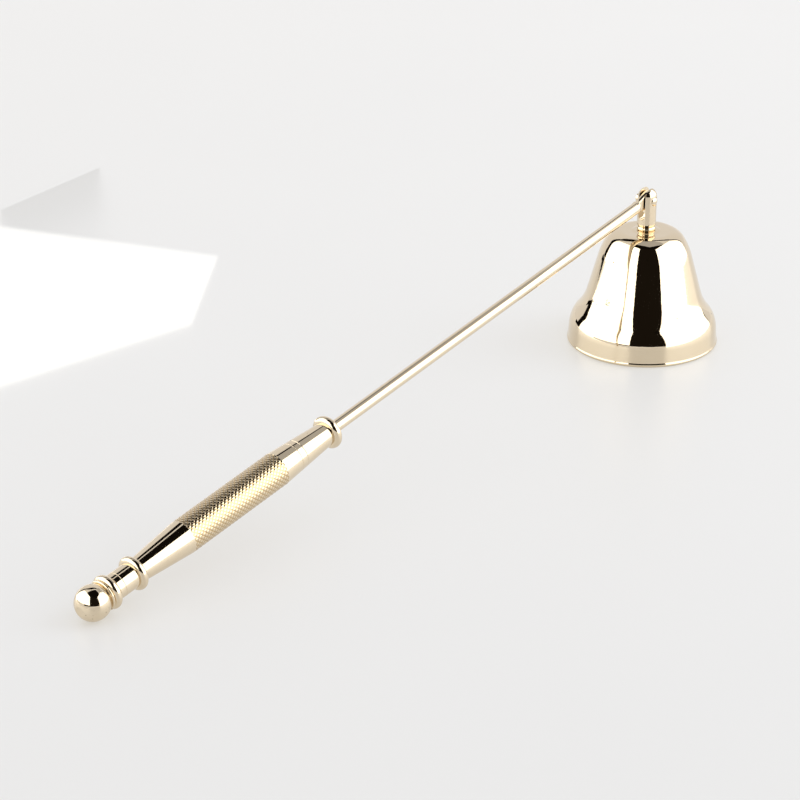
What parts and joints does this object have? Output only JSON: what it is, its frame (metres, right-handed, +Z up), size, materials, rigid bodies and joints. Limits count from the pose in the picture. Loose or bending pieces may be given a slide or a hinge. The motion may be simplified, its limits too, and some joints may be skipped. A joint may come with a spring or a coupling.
{
  "type": "candle snuffer",
  "caption": "Candle snuffer: a polished bell hinged by a pin to a long thin rod with a turned, knurled handle and ball finial.",
  "frame": {"origin": "centre of the bell's rim, on the surface that the rim rests on", "axes": "+Z up through the bell and its hinge post, the handle runs toward -X, the hinge pin lies along Y"},
  "size_m": [0.2271, 0.04, 0.0427],
  "materials": {
    "spun_bell": "mirror polished pale gold plate on a spun shell",
    "turned_fittings": "mirror polished pale gold plate on turned parts",
    "knurled_grip": "polished pale gold plate over a diamond knurl",
    "drawn_rod": "mirror polished pale gold plate on drawn rod",
    "fastener_steel": "zinc plated steel"
  },
  "bodies": {
    "handle": {"rod": "drawn_rod", "front_ferrule": "turned_fittings", "grip": "knurled_grip", "finial": "turned_fittings", "finial_stud": "fastener_steel"},
    "bell_head": {"bell": "spun_bell", "hinge_post": "turned_fittings", "hinge_pin": "turned_fittings", "bell_screw": "fastener_steel", "lock_washer": "fastener_steel", "crown_washer": "fastener_steel"}
  },
  "joints": [
    {"name": "bell_swing", "type": "hinge", "parent": "handle", "child": "bell_head", "pos_m": [0, 0, 0.0394], "axis": [0, 1, 0], "range_deg": [-227.5, 28]}
  ]
}
